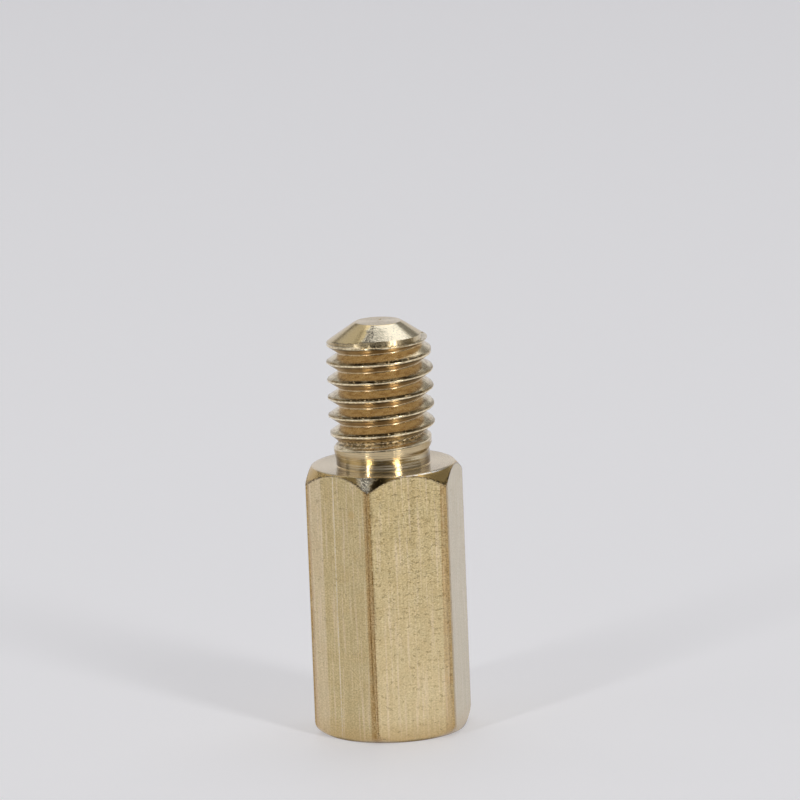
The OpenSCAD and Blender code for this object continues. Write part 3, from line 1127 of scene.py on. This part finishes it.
# Oil in the last groove, and oil with painted shade in the crest's seam
oil_and_seam_shade = add("Math ADD", add("Math MULTIPLY", seam, 0.92), add("Math MULTIPLY", bottom, 0.66))
sparkle = add("Math MAXIMUM",
              add("Math MULTIPLY", seam, add("MapRange", sparks, 0.58, 0.63, 0.0, 0.8)),
              add("Math MULTIPLY", bottom, add("MapRange", crumbs, 0.49, 0.54, 0.0, 0.85)))
base = layered(add, ramp.outputs[0], [
    (add("Math MULTIPLY", add("MapRange", smears, 0.46, 0.62, 0.0, 0.52),
         add("MapRange", rise, 0.12, 0.20)), "#B08A50"),
    (add("Math MULTIPLY", window(add, rise, -0.09, 0.01, 0.01),
         add("MapRange", sparks, 0.45, 0.62, 0.0, 0.5)), "#A58550"),
    (oil_and_seam_shade, "#33250F"),
    (sparkle, "#FFE9BC")])
rugged = add("Math MULTIPLY", grain, add("MapRange", torn, 0.0, 1.0, 0.08, 1.0))
rugged = add("Math ADD", rugged, add("Math MULTIPLY", add("Math MULTIPLY", crumbs, bottom), 3.2))
dull = add("Math ADD", add("Math MULTIPLY", window(add, rise, -0.52, -0.12, 0.02), 0.10),
           add("Math MULTIPLY", torn, 0.15))
film = add("Math MULTIPLY", add("MapRange", rise, -0.14, -0.08, 0.12, 0.7),
           add("MapRange", oil_and_seam_shade, 0.0, 0.9, 1.0, 0.1))
shader = add("BsdfPrincipled", {
    "Base Color": base, "Metallic": 1.0, "Coat Weight": film, "Coat Roughness": 0.15,
    "Roughness": add("Math ADD", add("MapRange", grain, 0.3, 0.7, 0.18, 0.30), dull),
    "Normal": add("Bump", {"Height": rugged, "Distance": 0.014 * MM, "Strength": 1.0})})
wear(finish, shader, add)

# %% [markdown]
# ## Tapped brass
#
# The tap cuts rather than burnishes, so the hole's thread is duller than the stud's, with a grain of
# about 0.17 mm and patches of the brown of dried tapping oil.

# %% Finish for the tapped hole
finish, add = new_finish("tapped_brass")
grain = noise_mm(add, add("TexCoord").node.outputs["Object"], (6 * PER_MM,) * 3, 3.0)
base = layered(add, colour("#DDBF87"), [(add("MapRange", grain, 0.45, 0.70), "#A98653")])
shader = add("BsdfPrincipled", {
    "Base Color": base, "Metallic": 1.0, "Roughness": add("MapRange", grain, 0.3, 0.7, 0.30, 0.45),
    "Normal": add("Bump", {"Height": grain, "Distance": 0.010 * MM, "Strength": 1.0})})
wear(finish, shader, add)

# %% [markdown]
# ## Camera
#
# A long lens from 40 cm away keeps the hexagon's sides nearly parallel. The camera stands a little
# above the standoff, is rolled by about two degrees, and aims above it, so that the standoff sits low
# in the frame.

# %% Place the camera
look_at = Vector((0, 0, 11 * MM))
camera_deg, camera_rise, camera_away = front_deg, 12.353, 0.400
lens_mm, roll_deg = 324.41, -2.255


def from_camera(side_deg, rise_deg, away):
    """A point round the standoff: degrees to the right of the camera, degrees up, and distance."""
    side, rise = math.radians(camera_deg + side_deg), math.radians(rise_deg)
    return look_at + away * Vector((math.cos(side) * math.cos(rise), math.sin(side) * math.cos(rise),
                                    math.sin(rise)))


camera_data = bpy.data.cameras.new("camera")
camera_data.sensor_width = 36.0
camera_data.lens = lens_mm
camera_data.clip_start, camera_data.clip_end = 0.01, 10.0
camera = bpy.data.objects.new("camera", camera_data)
bpy.context.scene.collection.objects.link(camera)
camera.location = from_camera(0, camera_rise, camera_away)
ahead = (look_at - camera.location).normalized()
right = ahead.cross(Vector((0, 0, 1))).normalized()
upright = Matrix((right, right.cross(ahead), -ahead)).transposed().to_quaternion()
roll = Matrix.Rotation(math.radians(roll_deg), 3, "Z").to_quaternion()
aim_aside, aim_above = math.radians(0.1096), math.radians(1.0581)
seen_at = Vector((-math.tan(aim_aside), -math.tan(aim_above), -1)).normalized()
aim = Vector((0, 0, -1)).rotation_difference(seen_at).inverted()
camera.rotation_mode = "QUATERNION"
camera.rotation_quaternion = upright @ roll @ aim
bpy.context.scene.camera = camera
print("camera at", [round(c, 4) for c in camera.location])

# %% [markdown]
# ## Table and backdrop
#
# The standoff stands on white card. The card is a wide disc, so it shows from every side, and a low
# curved screen behind it gives the shoulder and the tip something pale to mirror. Both glow, but only
# for the camera and for mirror reflections. That makes the background pale without any more light on
# the brass, and keeps the standoff's shadow. The glow fades a little with distance.

# %% Mix the card's white
white_card, add = new_finish("white_card")
matt = add("BsdfPrincipled", {"Base Color": colour("#D0D0D3"), "Roughness": 0.6,
                              "Specular IOR Level": 0.3})
ray = add("LightPath").node.outputs
looked_at = add("Math MAXIMUM", ray["Is Camera Ray"], ray["Is Glossy Ray"])
from_middle = add("VectorMath LENGTH", add("TexCoord").node.outputs["Object"])
fading = add("Math MULTIPLY", looked_at, add("MapRange", from_middle, 0.08, 0.35, 1.0, 0.90))
glow = add("Emission", {"Color": colour("#9C9B9D"), "Strength": fading})
add("OutputMaterial", add("AddShader", matt, glow))

# %% Lay out the table
def stage_piece(name, places, faces, finish, seen=True):
    """Builds a piece of the studio, which the camera sees or doesn't."""
    mesh = bpy.data.meshes.new(name)
    mesh.from_pydata(places, [], faces)
    mesh.materials.append(finish)
    made = bpy.data.objects.new(name, mesh)
    bpy.context.scene.collection.objects.link(made)
    made.visible_camera = seen
    return made


table_r, table_z, table_sides = 1.2, -0.00001, 96
table_turns = [2 * math.pi * side / table_sides for side in range(table_sides)]
stage_piece("table", [(table_r * math.cos(turn), table_r * math.sin(turn), table_z)
                      for turn in table_turns], [list(range(table_sides))], white_card)
print("table", table_r * 2, "m wide")

# %% Build the backdrop
screen_away, screen_high, screen_half_deg = 0.45, 0.20, 75
screen_points, screen_faces = [], []
columns, rows = 48, 8
for column in range(columns + 1):
    side = camera_deg + 180 + screen_half_deg * (2 * column / columns - 1)
    for row in range(rows + 1):
        share = row / rows
        away = screen_away - 0.10 * (1 - share) ** 2
        screen_points.append((away * math.cos(math.radians(side)), away * math.sin(math.radians(side)),
                              screen_high * share ** 1.5))
for column in range(columns):
    for row in range(rows):
        corner = column * (rows + 1) + row
        screen_faces.append((corner, corner + 1, corner + rows + 2, corner + rows + 1))
stage_piece("backdrop", screen_points, screen_faces, white_card).data.shade_smooth()
print("backdrop built, with", len(screen_faces), "faces")

# %% [markdown]
# ## Dark cards
#
# Polished metal is only as contrasty as the room it mirrors. A grey card stands low behind the camera,
# with a black one above it, and a small black flag hangs high and close on the left. They give the
# seams, the steep sides of the crests and the crown's front corner their dark reflections. The camera
# itself doesn't see them.

# %% Stand the dark cards
def card(name, side_deg, away, wide, low_z, high_z, hex_code):
    side = math.radians(camera_deg + side_deg)
    middle = away * Vector((math.cos(side), math.sin(side), 0))
    across = Vector((-math.sin(side), math.cos(side), 0)) * wide / 2
    places = [tuple(middle + across * hand + Vector((0, 0, z)))
              for hand, z in ((-1, low_z), (1, low_z), (1, high_z), (-1, high_z))]
    finish, add = new_finish(name)
    add("OutputMaterial", add("BsdfDiffuse", colour(hex_code)))
    stage_piece(name, places, [(0, 1, 2, 3)], finish, seen=False)


card("grey_card", 0, 0.45, 0.46, 0.0, 0.17, "#8C8C8C")
card("black_card", 0, 0.45, 0.46, 0.17, 0.62, "#262626")
card("black_flag", -14, 0.20, 0.12, 0.28, 0.62, "#1C1C1C")

# %% [markdown]
# ## Light
#
# Two narrow lamps stand high on the left and the right and give the neck its two upright streaks. A
# large soft one hangs behind on the right and lights the chamfer at the tip, with a weaker one behind
# on the left, and a broad one fills in the left side. The rest is even grey light from all round, and
# where the camera looks past the table it sees a pale wall.

# %% Hang the lamps
LAMP_AWAY = 0.5


def soft_lamp(name, side_deg, rise_deg, wide, high, radiance):
    data = bpy.data.lights.new(name, "AREA")
    data.shape = "RECTANGLE"
    data.size, data.size_y = wide, high
    data.energy = radiance * math.pi * wide * high
    lamp = bpy.data.objects.new(name, data)
    bpy.context.scene.collection.objects.link(lamp)
    lamp.location = from_camera(side_deg, rise_deg, LAMP_AWAY)
    lamp.rotation_mode = "QUATERNION"
    lamp.rotation_quaternion = (look_at - lamp.location).to_track_quat("-Z", "Y")


soft_lamp("lamp_left", -39, 27, 0.028, 0.46, 12.4)
soft_lamp("lamp_right", 37, 27, 0.062, 0.46, 9.2)
soft_lamp("lamp_overhead", 163, 62, 0.46, 0.30, 1.0)
soft_lamp("lamp_back_left", -132, 43, 0.30, 0.26, 0.36)
soft_lamp("lamp_fill_left", -78, 24, 0.28, 0.36, 0.40)
print("lamps hung:", [lamp.name for lamp in bpy.data.lights])

# %% Light the room
world = bpy.data.worlds.new("studio")
bpy.context.scene.world = world
world.use_nodes = True
world.node_tree.nodes.clear()
add = functools.partial(add_node, world.node_tree)
ROOM_LIGHT = 0.20
room = add("Background", {"Color": colour("#FFFFFF"), "Strength": ROOM_LIGHT})
backcloth = add("Background", {"Color": colour("#D9D9DC"), "Strength": 1.0})
add("OutputWorld", add("MixShader", add("LightPath").node.outputs["Is Camera Ray"], room, backcloth))
print("room light", ROOM_LIGHT, "of white")

# %% Finish
bpy.context.scene.view_settings.view_transform = "Standard"
